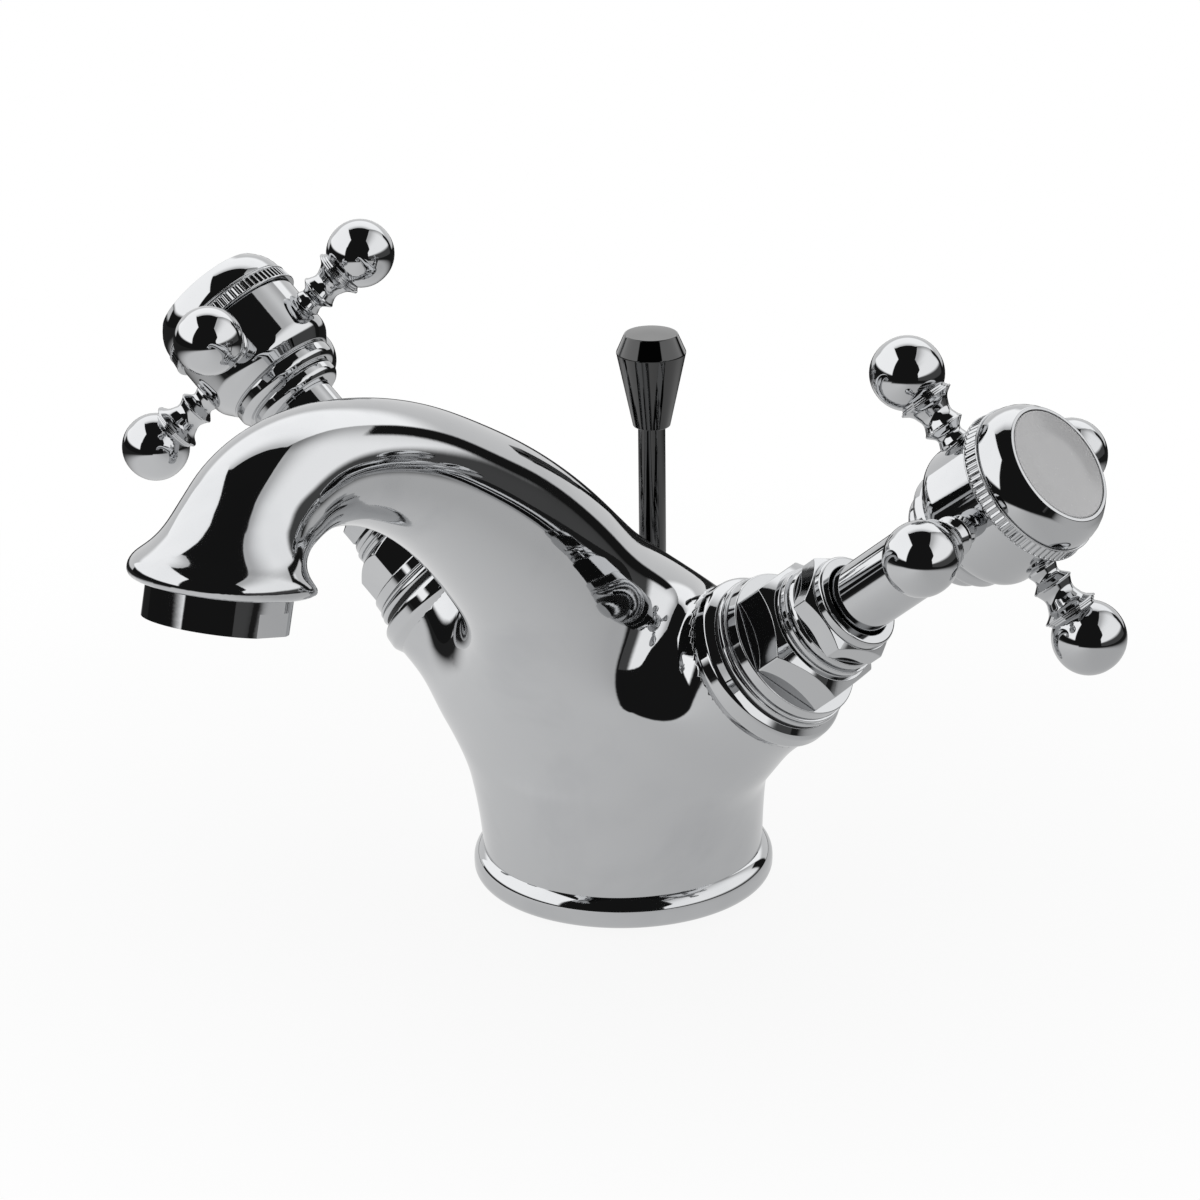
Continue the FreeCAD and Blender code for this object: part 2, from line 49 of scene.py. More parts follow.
class Flow:  # one socket of a node tree; an expression on flows adds its Math nodes
    def __init__(self, tree, socket=None):
        self.tree = tree
        self.socket = socket

    def node(self, kind, settings=None, sockets=None, out=0):
        made = self.tree.nodes.new(kind)  # any node: settings first, then values or links of its sockets
        for key, value in (settings or {}).items():
            setattr(made, key, value)
        for key, value in (sockets or {}).items():
            if isinstance(value, Flow):
                self.tree.links.new(value.socket, made.inputs[key])
            else:
                made.inputs[key].default_value = value
        return Flow(self.tree, made.outputs[out] if made.outputs else None)

    def math(self, operation, first, second=0.0):
        return self.node("ShaderNodeMath", {"operation": operation}, {0: first, 1: second})

    def __add__(self, other):
        return self.math("ADD", self, other)

    def __sub__(self, other):
        return self.math("SUBTRACT", self, other)

    def __rsub__(self, other):
        return self.math("SUBTRACT", other, self)

    def __mul__(self, other):
        return self.math("MULTIPLY", self, other)

    def __truediv__(self, other):
        return self.math("DIVIDE", self, other)

    def __rtruediv__(self, other):
        return self.math("DIVIDE", other, self)

    def __neg__(self):
        return self.math("MULTIPLY", self, -1.0)

    __radd__ = __add__
    __rmul__ = __mul__

    def ease(self, low, high, toLow=0.0, toHigh=1.0):  # smooth step from low to high
        settings = {"interpolation_type": "SMOOTHSTEP", "clamp": True}
        return self.node("ShaderNodeMapRange", settings, {0: self, 1: low, 2: high, 3: toLow, 4: toHigh})

    def tint(self, first, second):  # colour mix, this flow is the factor
        return self.node("ShaderNodeMix", {"data_type": "RGBA"}, {0: self, 6: first, 7: second}, out=2)

    def dot(self, way):  # how far this vector runs along a direction
        return self.node("ShaderNodeVectorMath", {"operation": "DOT_PRODUCT"}, {0: self, 1: way}, out=1)


def startMaterial(name):
    material = bpy.data.materials.new(name)
    material.use_nodes = True
    material.node_tree.nodes.clear()
    return material, Flow(material.node_tree)


def endMaterial(flow, shader):
    flow.node("ShaderNodeOutputMaterial", None, {"Surface": shader})


def objectPlace(flow):
    return flow.node("ShaderNodeTexCoord", out="Object")


def noise(flow, place, scale, detail=2.0, rough=0.5, distortion=0.0):
    grain = {"Scale": scale, "Detail": detail, "Roughness": rough, "Distortion": distortion}
    return flow.node("ShaderNodeTexNoise", None, {"Vector": place, **grain})


def bump(flow, height, strength, distance):
    return flow.node("ShaderNodeBump", None, {"Strength": strength, "Distance": distance, "Height": height})


chromeFinish = {
    "tint": (0.545, 0.552, 0.562, 1.0),
    "hazeTint": (0.50, 0.508, 0.52, 1.0),
    "gloss": 0.028,          # roughness of clean plating
    "haze": 0.05,            # roughness added where the plating is handled
    "hazeScale": 34.0,
    "rippleScale": 42.0,     # slow waves left by polishing
    "rippleDepth": 0.00012,  # metres, as all bump depths here
    "grainScale": 900.0,
    "grainDepth": 0.000004,
    "coatIor": 1.6,          # clear lacquer over the dark plating
    "coatGloss": 0.02,
}


def makeChrome(name, ripple=1.0, haze=1.0, depth=1.0, coat=0.0):
    # plated brass: slow polishing ripples and a fine grain as bump, a faint handled haze in roughness
    # and tint; a depth below 1 darkens the plating
    finish = chromeFinish
    material, flow = startMaterial(name)
    place = objectPlace(flow)
    film = noise(flow, place, finish["hazeScale"], 4.0, 0.6, 0.4).ease(0.45, 0.75)
    specks = noise(flow, place, finish["grainScale"], 2.0)
    waves = noise(flow, place, finish["rippleScale"], 1.0, 0.3)
    slow = bump(flow, waves, ripple, finish["rippleDepth"])
    fine = {"Strength": 0.5, "Distance": finish["grainDepth"], "Height": specks, "Normal": slow}
    clean, handled = ([depth * part for part in finish[key]] for key in ("tint", "hazeTint"))
    shader = flow.node("ShaderNodeBsdfPrincipled", None, {
        "Base Color": film.tint(clean, handled),
        "Metallic": 1.0,
        "Roughness": finish["gloss"] + haze * finish["haze"] * film,
        "Normal": flow.node("ShaderNodeBump", None, fine),
        "Coat Weight": coat,
        "Coat IOR": finish["coatIor"],
        "Coat Roughness": finish["coatGloss"],
    })
    endMaterial(flow, shader)
    return material


def makeGlaze():
    # pale index disc: fired glaze, slightly cloudy, with pores and a soft uneven gloss
    material, flow = startMaterial("index glaze")
    place = objectPlace(flow)
    cloud = noise(flow, place, 90.0, 3.0)
    pores = noise(flow, place, 1400.0, 1.0).ease(0.68, 0.74)
    shader = flow.node("ShaderNodeBsdfPrincipled", None, {
        "Base Color": cloud.tint((0.67, 0.67, 0.675, 1.0), (0.61, 0.61, 0.62, 1.0)),
        "Roughness": 0.12 + 0.1 * cloud + 0.2 * pores,
        "Normal": bump(flow, noise(flow, place, 160.0, 2.0), 0.3, 0.0001),
        "Coat Weight": 0.4,
        "Coat Roughness": 0.06,
    })
    endMaterial(flow, shader)
    return material


def makeRubber():
    # black seal rubber with bloom and moulding grain
    material, flow = startMaterial("seal rubber")
    place = objectPlace(flow)
    bloom = noise(flow, place, 120.0, 4.0, 0.6).ease(0.4, 0.8)
    shader = flow.node("ShaderNodeBsdfPrincipled", None, {
        "Base Color": bloom.tint((0.012, 0.012, 0.013, 1.0), (0.035, 0.034, 0.033, 1.0)),
        "Roughness": 0.55 + 0.25 * bloom,
        "Normal": bump(flow, noise(flow, place, 1100.0, 2.0), 0.4, 0.00004),
    })
    endMaterial(flow, shader)
    return material


def makeJetPlastic():
    # pale moulded plastic of the jets, slightly limed
    material, flow = startMaterial("jet plastic")
    place = objectPlace(flow)
    lime = noise(flow, place, 260.0, 4.0, 0.65).ease(0.5, 0.75)
    shader = flow.node("ShaderNodeBsdfPrincipled", None, {
        "Base Color": lime.tint((0.42, 0.43, 0.44, 1.0), (0.60, 0.59, 0.56, 1.0)),
        "Roughness": 0.35 + 0.3 * lime,
        "Normal": bump(flow, lime, 0.3, 0.00005),
    })
    endMaterial(flow, shader)
    return material


def makeMachined(name, pale, dark, gloss):
    # machined bar: dense fine tool marks under a dull film
    material, flow = startMaterial(name)
    place = objectPlace(flow)
    marks = noise(flow, place, 2200.0, 1.0)
    film = noise(flow, place, 140.0, 3.0).ease(0.35, 0.7)
    shader = flow.node("ShaderNodeBsdfPrincipled", None, {
        "Base Color": film.tint(pale, dark),
        "Metallic": 1.0,
        "Roughness": gloss + 0.18 * film + 0.06 * marks,
        "Normal": bump(flow, marks, 0.35, 0.00002),
    })
    endMaterial(flow, shader)
    return material


def makeDiscCeramic():
    # lapped ceramic: ivory, dense and satin
    material, flow = startMaterial("lapped ceramic")
    place = objectPlace(flow)
    body = noise(flow, place, 320.0, 3.0)
    shader = flow.node("ShaderNodeBsdfPrincipled", None, {
        "Base Color": body.tint((0.80, 0.77, 0.71, 1.0), (0.72, 0.69, 0.63, 1.0)),
        "Roughness": 0.25 + 0.12 * body,
        "Normal": bump(flow, body, 0.1, 0.00003),
    })
    endMaterial(flow, shader)
    return material


castChrome = makeChrome("cast chrome", 1.0, 1.0)
turnedChrome = makeChrome("turned chrome", 0.25, 0.8)
darkChrome = makeChrome("dark chrome", 0.0, 0.5, 0.04, 1.0)  # lift rod and knob
finishes = {
    "rubber": makeRubber(),
    "jet_plastic": makeJetPlastic(),
    "brass": makeMachined("machined brass", (0.72, 0.52, 0.22, 1.0), (0.50, 0.33, 0.13, 1.0), 0.2),
    "steel": makeMachined("machined steel", (0.58, 0.58, 0.60, 1.0), (0.42, 0.42, 0.43, 1.0), 0.22),
    "disc_ceramic": makeDiscCeramic(),
    "index_glaze": makeGlaze(),
}


def dress(thing, material):
    thing.data.materials.clear()
    thing.data.materials.append(material)


for part in frame["record"]["subparts"]:
    name = part["node"]
    chrome = darkChrome if name.startswith("lift") else turnedChrome
    dress(frame["nodes"][name], finishes.get(part["material_slot"], chrome))
print("finishes on all nodes")

mm = 0.001
joints = {joint["name"]: joint for joint in frame["joints"]}
crossTurn = {"cold": 2.7, "hot": 28.0}  # how far each cross handle stands turned, degrees
crisp, fitted, eased, full = 0.05, 0.1, 0.2, 0.3  # usual roundings of corners, mm
lap = 0.05  # how far a shell runs on into the next one, mm
runShare = 0.98  # what the roundings at both ends may take of a straight run


def valvePlace(side):  # z runs out along the valve axis from the plane of the handle arms
    joint = joints[side + "_turn"]
    along = Vector(joint["axis"]).normalized()
    ahead = Vector((0.0, 1.0, 0.0))
    turned = Matrix((ahead.cross(along), ahead, along)).transposed().to_4x4()
    return Matrix.Translation(joint["pos_m"]) @ turned


def roundedLine(rows, closed, fine):
    # straight runs with every corner rounded by an arc; a row is radius, station, rounding, in any leading
    # shape; gives the points and, for each, the heading of the line there
    rows = np.asarray(rows, float)
    if closed:
        rows = np.concatenate([rows[..., -1:, :], rows, rows[..., :1, :]], -2)
    spot, rounding = rows[..., :2], rows[..., 1:-1, 2]
    run = np.diff(spot, axis=-2)
    length = np.hypot(run[..., 0], run[..., 1])
    heading = np.arctan2(run[..., 1], run[..., 0])
    turn = (np.diff(heading, axis=-1) + math.pi) % (2 * math.pi) - math.pi
    reach = rounding * np.tan(np.abs(turn) / 2)
    ends = reach[..., [-1, 0]] if closed else 0 * reach[..., :2]
    reach = np.concatenate([ends[..., :1], reach, ends[..., 1:]], -1)
    room = np.minimum(1.0, runShare * length / np.maximum(reach[..., :-1] + reach[..., 1:], 1e-9))
    bend = rounding * np.minimum(room[..., :-1], room[..., 1:])  # gives way where its runs are short
    points, headings = [], []
    for k in range(turn.shape[-1]):
        before = heading[..., k, None]
        steps = max(2, int(np.ceil(np.degrees(np.abs(turn[..., k]).max()) / fine)))
        way = before + turn[..., k, None] * np.linspace(0.0, 1.0, steps + 1)
        signed = (np.sign(turn[..., k]) * bend[..., k])[..., None, None]
        back = (bend[..., k] * np.tan(np.abs(turn[..., k]) / 2))[..., None, None]
        start = spot[..., k + 1, None, :] - back * np.stack([np.cos(before), np.sin(before)], -1)
        middle = start - signed * np.stack([np.sin(before), -np.cos(before)], -1)
        points.append(middle + signed * np.stack([np.sin(way), -np.cos(way)], -1))
        headings.append(way)
    if not closed:
        points = [spot[..., :1, :]] + points + [spot[..., -1:, :]]
        headings = [heading[..., :1]] + headings + [heading[..., -1:]]
    return np.concatenate(points, -2), np.concatenate(headings, -1)


def turnedShell(rows, place, angles=160, closed=False, fine=6.0):
    # the rounded line carried round the axis: (r cos a, r sin a, z); rows may differ from angle to angle
    angle = np.arange(angles) * (2 * math.pi / angles) if np.isscalar(angles) else angles
    line, heading = roundedLine(rows, closed, fine)
    line = np.broadcast_to(line, (len(angle), *line.shape[-2:]))
    heading = np.broadcast_to(heading, line.shape[:2])
    around = np.stack([np.cos(angle), np.sin(angle)], -1)[:, None, :]
    side = np.stack([-np.sin(angle), np.cos(angle), 0 * angle], -1)[:, None, :]
    points = np.concatenate([line[..., :1] * around, line[..., 1:]], -1)
    along = np.concatenate([np.cos(heading)[..., None] * around, np.sin(heading)[..., None]], -1)
    across = np.roll(points, -1, 0) - np.roll(points, 1, 0)
    normals = np.cross(np.where(line[..., :1] > 1e-6, across, side), along)
    return gridShell(points, normals / np.linalg.norm(normals, axis=-1, keepdims=True), closed, place)


def gridShell(points, normals, closed, place):
    # quads between neighbours of the grid and a fan at each pole; first index round, second index along
    count, length = points.shape[:2]
    low, high = (0, length) if closed else (1, length - 1)
    rows = np.arange(count * (high - low)).reshape(count, -1)
    ahead = np.roll(rows, -1, 0)
    quads = np.stack([rows, ahead, np.roll(ahead, -1, 1), np.roll(rows, -1, 1)], -1)
    fans = np.zeros((0, 3), int)
    spots, facing = points[:, low:high].reshape(-1, 3), normals[:, low:high].reshape(-1, 3)
    if not closed:
        quads = quads[:, :-1]
        pole = np.full(count, len(spots))
        fans = np.concatenate([np.stack([pole, ahead[:, 0], rows[:, 0]], -1),
                               np.stack([pole + 1, rows[:, -1], ahead[:, -1]], -1)])
        spots = np.concatenate([spots, points[0, [0, -1]]])
        facing = np.concatenate([facing, normals[0, [0, -1]]])
    matrix = np.array(place)
    turned, moved = matrix[:3, :3].T, matrix[:3, 3]
    return spots * mm @ turned + moved, facing @ turned, quads.reshape(-1, 4), fans


def spreadRows(rows, angle):  # rows whose entries may differ from angle to angle, as one array
    return np.stack([np.stack(np.broadcast_arrays(*row, angle)[:3], -1) for row in rows], 1)


def addPiece(name, shells, material, body, slot, *nodes):  # one mesh of closed shells, with exact normals
    starts = np.cumsum([0] + [len(shell[0]) for shell in shells])
    points = np.concatenate([shell[0] for shell in shells])
    normals = np.concatenate([shell[1] for shell in shells])
    quads = np.concatenate([shell[2] + start for shell, start in zip(shells, starts)])
    fans = np.concatenate([shell[3] + start for shell, start in zip(shells, starts)])
    corners = np.concatenate([quads.ravel(), fans.ravel()])
    sizes = np.repeat([4, 3], [len(quads), len(fans)])
    mesh = bpy.data.meshes.new(name)
    mesh.vertices.add(len(points))
    mesh.vertices.foreach_set("co", points.astype(np.float32).ravel())
    mesh.loops.add(len(corners))
    mesh.loops.foreach_set("vertex_index", corners.astype(np.int32))
    mesh.polygons.add(len(sizes))
    mesh.polygons.foreach_set("loop_start", (np.cumsum(sizes) - sizes).astype(np.int32))
    mesh.update(calc_edges=True)
    mesh.normals_split_custom_set_from_vertices(normals.tolist())
    piece = bpy.data.objects.new(name, mesh)
    scene.collection.objects.link(piece)
    dress(piece, material)
    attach(piece, body)
    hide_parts(*nodes)


# casting: a spout on a curved centre line and two valve arms, melted into one skin
castSizes = {
    "spine": [  # y, z, radius
        (0.0, -12.0, 26.0), (0.0, 5.0, 26.0), (0.0, 18.0, 25.8), (-1.6, 33.0, 24.6), (-8.3, 47.5, 19.4),
        (-19.6, 62.0, 17.2), (-29.1, 72.4, 15.9), (-40.9, 83.1, 14.2), (-50.7, 90.4, 12.8),
        (-64.5, 98.7, 11.5), (-80.3, 104.6, 10.5), (-92.6, 106.3, 10.4), (-99.8, 105.1, 10.8),
        (-103.9, 103.6, 11.0), (-107.3, 101.2, 11.1), (-110.0, 98.4, 11.2), (-112.1, 95.6, 11.2),
        (-113.5, 92.6, 11.2), (-115.7, 84.2, 11.2),
    ],
    "spineStep": 0.1, "spineSoft": 5.0, "coarse": 16, "tight": 0.25,
    "mouth": (-113.6, 93.6), "mouthLean": 13.5, "lip": 3.0, "mouthReach": 25.0,
    "bell": [  # height above the mouth, what the flare adds to the radius there
        (-6.0, 4.4), (-2.0, 4.4), (0.0, 4.45), (1.3, 4.5), (2.7, 4.45), (3.8, 4.0), (4.8, 3.1),
        (6.0, 2.0), (7.6, 1.0), (9.6, 0.35), (12.3, 0.0), (18.0, 0.0),
    ],
    "bellStep": 0.05, "bellSoft": 0.7, "inner": 0.9, "innerSoft": 2.0,
    "arm": (-3.7, 21.9), "armLean": 40.0,  # where the arms' axes meet, y and z
    "armR": 15.6, "armSwell": 2.6, "armEnd": 42.4, "armFrom": 4.0,
    "blend": 18.0, "crotchBlend": 38.0, "crotchFrom": 20.0, "crotchTo": 46.0,
    "rimBlend": 16.0, "rimShare": 0.5, "footCut": 2.0,
    "low": (-48.0, -131.0, -1.0), "high": (48.0, 28.0, 119.0), "cell": 0.8,  # the grid
    "stride": 0.6, "steep": 0.05, "relax": 0.6, "rounds": 4,  # how points are drawn to the skin, evened out
    "ringFine": 9.0,  # degrees between the points of a rounding on the rings
}


def softLine(rows, step, soft):
    # curve through the rows by cubic Hermite pieces, then evened out along its length
    rows = np.asarray(rows, float)
    chord = np.concatenate([[0.0], np.cumsum(np.linalg.norm(np.diff(rows[:, :2], axis=0), axis=1))])
    slope = np.gradient(rows, chord, axis=0)
    at = np.arange(0.0, chord[-1], step)
    k = np.searchsorted(chord, at, side="right") - 1
    span = (chord[k + 1] - chord[k])[:, None]
    u = ((at - chord[k]) / span[:, 0])[:, None]
    line = ((1 + 2 * u) * (1 - u) ** 2 * rows[k] + u * u * (3 - 2 * u) * rows[k + 1]
            + span * (u * (1 - u) ** 2 * slope[k] - u * u * (1 - u) * slope[k + 1]))
    reach = int(4 * soft / step)
    weights = np.exp(-0.5 * (np.arange(-reach, reach + 1) * step / soft) ** 2)
    weights /= weights.sum()

    def even(values):  # both ends are carried on so that they stay where they are
        head = 2 * values[:1] - values[reach:0:-1]
        tail = 2 * values[-1:] - values[-2:-reach - 2:-1]
        longer = np.concatenate([head, values, tail])
        return np.stack([np.convolve(column, weights, "valid") for column in longer.T], -1)

    return 2 * even(line) - even(even(line))


def melt(first, second, width):  # cubic smooth minimum
    share = np.maximum(width - np.abs(first - second), 0.0) / width
    return np.minimum(first, second) - width * share ** 3 / 6.0


def smooth(share):  # smooth step of a share from 0 to 1
    share = np.clip(share, 0.0, 1.0)
    return share * share * (3 - 2 * share)


def castField(cast):
    # distance-like value, negative inside: tube round the nearest point of the centre line, cylinders of
    # the arms, joined by smooth minima whose width grows from the foot to the crotch; a smooth maximum
    # rounds the mouth's lip
    line = softLine(cast["spine"], cast["spineStep"], cast["spineSoft"])
    length = np.concatenate([[0.0], np.cumsum(np.linalg.norm(np.diff(line[:, :2], axis=0), axis=1))])
    way = np.gradient(line[:, :2], length, axis=0)
    way /= np.linalg.norm(way, axis=1, keepdims=True)
    bend = way[:, 0] * np.gradient(way[:, 1], length) - way[:, 1] * np.gradient(way[:, 0], length)
    growth = np.gradient(line[:, 2], length)
    lean, tilt = math.radians(cast["mouthLean"]), math.radians(cast["armLean"])
    half = len(line) // 2
    past = (line[half:, :2] - cast["mouth"]) @ (-math.sin(lean), -math.cos(lean))
    end = np.interp(0.0, past, length[half:])  # where the line leaves through the mouth
    bell = softLine([(*row, 0.0) for row in cast["bell"]], cast["bellStep"], cast["bellSoft"])
    coarse = cast["coarse"]

    def locate(y, z):  # coarse place of the nearest point along the line
        awayY, awayZ = y.ravel()[:, None] - line[::coarse, 0], z.ravel()[:, None] - line[::coarse, 1]
        return length[(awayY ** 2 + awayZ ** 2).argmin(1) * coarse].reshape(y.shape)

    def away(y, z, at):  # from the line's point at that length
        return y - np.interp(at, length, line[:, 0]), z - np.interp(at, length, line[:, 1])

    def field(x, y, z, start):
        at = start
        for turn in range(4):  # steps to the exact nearest point, shortened on the outside of a bend
            awayY, awayZ = away(y, z, at)
            wayY, wayZ = np.interp(at, length, way[:, 0]), np.interp(at, length, way[:, 1])
            aside = awayZ * wayY - awayY * wayZ
            stretch = np.maximum(1.0 - aside * np.interp(at, length, bend), cast["tight"])
            at = np.clip(at + (awayY * wayY + awayZ * wayZ) / stretch, 0.0, length[-1])
        awayY, awayZ = away(y, z, at)
        above = (y - cast["mouth"][0]) * math.sin(lean) + (z - cast["mouth"][1]) * math.cos(lean)
        inner = end - at - above  # how far the flare runs on up the inside of the bend
        flare = above + 0.5 * cast["inner"] * (inner + np.sqrt(inner * inner + cast["innerSoft"] ** 2))
        radius = np.interp(at, length, line[:, 2]) + np.interp(flare, bell[:, 0], bell[:, 1])
        tube = np.sqrt(x * x + (awayY ** 2 + awayZ ** 2)) - radius
        tube /= np.sqrt(1 + np.interp(at, length, growth) ** 2)
        cut = np.where(at > end - cast["mouthReach"], above, cast["mouthReach"])
        tube = -melt(-tube, cut, cast["lip"])
        rise = smooth((z - cast["crotchFrom"]) / (cast["crotchTo"] - cast["crotchFrom"]))
        width = cast["blend"] + (cast["crotchBlend"] - cast["blend"]) * rise
        armY, armZ = y - cast["arm"][0], z - cast["arm"][1]
        for side in (-1.0, 1.0):
            out = side * x * math.cos(tilt) + armZ * math.sin(tilt)
            short = np.minimum(out - cast["armFrom"], 0.0)
            off = np.sqrt(np.maximum(x * x + armY ** 2 + armZ ** 2 - out * out + short * short, 1e-9))
            left = np.clip((cast["armEnd"] - out) / cast["armEnd"], 0.0, 1.0)
            arm = np.maximum(off - cast["armR"] - cast["armSwell"] * left * left, out - cast["armEnd"])
            near = smooth((cast["armEnd"] - out) / cast["rimBlend"])
            tube = melt(tube, arm, width * (cast["rimShare"] + (1 - cast["rimShare"]) * near))
        return np.maximum(tube, cast["footCut"] - z)

    return field, locate


def skinShell(cast):
    # one point in each grid cell that the skin passes, a quad round each grid edge it cuts; then the points
    # are drawn onto the skin along its gradient and evened out between neighbours
    field, locate = castField(cast)
    axes = [np.arange(low, high, cast["cell"]) for low, high in zip(cast["low"], cast["high"])]
    gridX, gridY, gridZ = axes[0][:, None, None], axes[1][None, :, None], axes[2][None, None, :]
    inside = field(gridX, gridY, gridZ, locate(gridY + 0 * gridZ, gridZ + 0 * gridY)) < 0.0
    count = np.zeros(tuple(n - 1 for n in inside.shape), int)
    for i, j, k in np.ndindex(2, 2, 2):
        count += inside[i:count.shape[0] + i, j:count.shape[1] + j, k:count.shape[2] + k]
    cells = np.argwhere((count > 0) & (count < 8))
    index = np.full(count.shape, -1)
    index[tuple(cells.T)] = np.arange(len(cells))
    points = np.array(cast["low"]) + (cells + 0.5) * cast["cell"]
    quads = []
    for axis in range(3):
        here, number = np.moveaxis(inside, axis, 0), np.moveaxis(index, axis, 0)
        i, j, k = np.nonzero(here[:-1, 1:-1, 1:-1] != here[1:, 1:-1, 1:-1])
        corners = ((0, 0), (1, 0), (1, 1), (0, 1))
        ring = np.stack([number[i, j + a, k + b] for a, b in corners], -1)
        outward = here[i, j + 1, k + 1] != (axis == 1)
        quads.append(np.where(outward[:, None], ring, ring[:, ::-1]))
    quads = np.concatenate(quads)

    def slopeAt(spots, start, step=0.02):
        pairs = [(spots + way, spots - way) for way in step * np.eye(3)]
        rises = [field(*more.T, start) - field(*less.T, start) for more, less in pairs]
        return np.stack(rises, -1) / (2 * step)

    def draw(spots):
        start = locate(spots[:, 1], spots[:, 2])
        slope = slopeAt(spots, start)
        value = np.clip(field(*spots.T, start), -cast["stride"], cast["stride"])
        return spots - slope * (value / np.maximum((slope ** 2).sum(1), cast["steep"]))[:, None]

    ends = np.concatenate([quads[:, [a, (a + 1) % 4]] for a in range(4)])
    number = np.bincount(ends[:, 0], minlength=len(points))[:, None]
    points = draw(draw(points))
    for turn in range(cast["rounds"]):
        beside = points[ends[:, 1]]
        total = np.stack([np.bincount(ends[:, 0], column, len(points)) for column in beside.T], -1)
        points = draw((1 - cast["relax"]) * points + cast["relax"] * total / number)
    points = draw(points)
    normals = slopeAt(points, locate(points[:, 1], points[:, 2]))
    normals /= np.maximum(np.linalg.norm(normals, axis=1, keepdims=True), 1e-9)
    return points * mm, normals, quads, np.zeros((0, 3), int)


# rings of the casting: foot moulding and the bead rims of the arms
footRows = [(25.4, 0.02, 0.1), (28.0, 0.02, 3.0), (28.0, 6.7, 3.4), (24.4, 6.7, 0.1), (24.4, 2.5, 0.1),
            (25.4, 2.5, 0.1)]
rimRows = [(10.6, -64.0, 0.1), (14.4, -64.0, 0.3), (15.5, -63.2, 0.9), (16.45, -61.2, 1.6),
           (16.2, -58.6, 1.2), (14.6, -57.62, 0.3), (10.6, -57.62, 0.1)]


def makeCasting(cast):
    rings = [(footRows, Matrix.Identity(4), 256)]
    rings += [(rimRows, valvePlace(side), 192) for side in ("cold", "hot")]
    shells = [skinShell(cast)]
    shells += [turnedShell(rows, place, count, True, cast["ringFine"]) for rows, place, count in rings]
    print("casting:", len(shells[0][2]), "quads in its skin")
    addPiece("casting", shells, castChrome, "mixer", "chrome", "body")


makeCasting(castSizes)

# handle arm: root, hollow neck, ring, trumpet, flange with two fine steps and ball, out from the valve axis
handleArm = {
    "from": 9.5, "rootR": 2.75, "rootEnd": 13.3, "neckR": 2.25, "neck": 14.5, "ring": 16.3, "ringR": 3.65,
    "waistR": 2.75, "waist": 18.4, "flange": 21.55, "flangeR": 4.95, "stepR": 4.62, "grooveR": 4.35,
    "ball": 27.25, "ballR": 6.45, "edge": 0.2, "neckSoft": 1.6, "waistSoft": 2.4,
}


def armRows(arm):
    edge = arm["edge"]
    lift = math.acos(arm["grooveR"] / arm["ballR"])  # how far below its middle the ball leaves the flange
    return [
        (0.0, arm["from"], 0.0),
        (arm["rootR"], arm["from"], edge),
        (arm["rootR"], arm["rootEnd"], 2 * edge),
        (arm["neckR"], arm["neck"], arm["neckSoft"]),
        (arm["neckR"] + edge, arm["neck"] + 3 * edge, arm["neckSoft"]),
        (arm["ringR"] - edge, arm["ring"] - 1.5 * edge, edge),
        (arm["ringR"], arm["ring"] - edge / 2, edge),
        (arm["ringR"], arm["ring"] + edge / 2, edge),
        (arm["ringR"] - 1.5 * edge, arm["ring"] + 2 * edge, edge),
        (arm["waistR"] + edge / 2, arm["waist"] - 3 * edge, arm["waistSoft"]),
        (arm["waistR"], arm["waist"] + edge, arm["waistSoft"]),
        (arm["waistR"] + 4 * edge, arm["flange"] - 5 * edge, arm["waistSoft"]),
        (arm["flangeR"] - edge, arm["flange"] - edge, edge),
        (arm["flangeR"], arm["flange"] - edge / 2, edge / 2),
        (arm["flangeR"], arm["flange"] + edge, edge / 2),
        (arm["stepR"], arm["flange"] + 1.4 * edge, edge / 4),
        (arm["stepR"], arm["flange"] + 2.6 * edge, edge / 2),
        (arm["grooveR"], arm["flange"] + 3.2 * edge, edge / 4),
        (arm["grooveR"], arm["ball"] - arm["ballR"] * math.sin(lift), edge / 4),
        (arm["ballR"], arm["ball"] - arm["ballR"] * math.tan(lift / 2), arm["ballR"]),
        (arm["ballR"], arm["ball"] + arm["ballR"], arm["ballR"]),
        (0.0, arm["ball"] + arm["ballR"], 0.0),
    ]


# hub: barrel with a round back and two beads behind, hollow where shroud, spindle, screw and cap go in
hubSizes = {
    "barrelR": 13.2, "front": 6.35, "shoulder": -4.4, "shoulderSoft": 4.0, "rear": -7.0, "rearR": 11.2,
    "beadR": 10.9, "beadEnd": -10.3, "tailR": 9.2, "tailEnd": -13.4, "round": 1.3, "face": 0.8,
    "nick": 0.25, "tubeBore": 6.4, "tubeSeat": -10.2, "bore": 2.4, "headBore": 3.65, "headSeat": 0.7,
    "capBore": 7.65, "capSeat": 3.6,
}


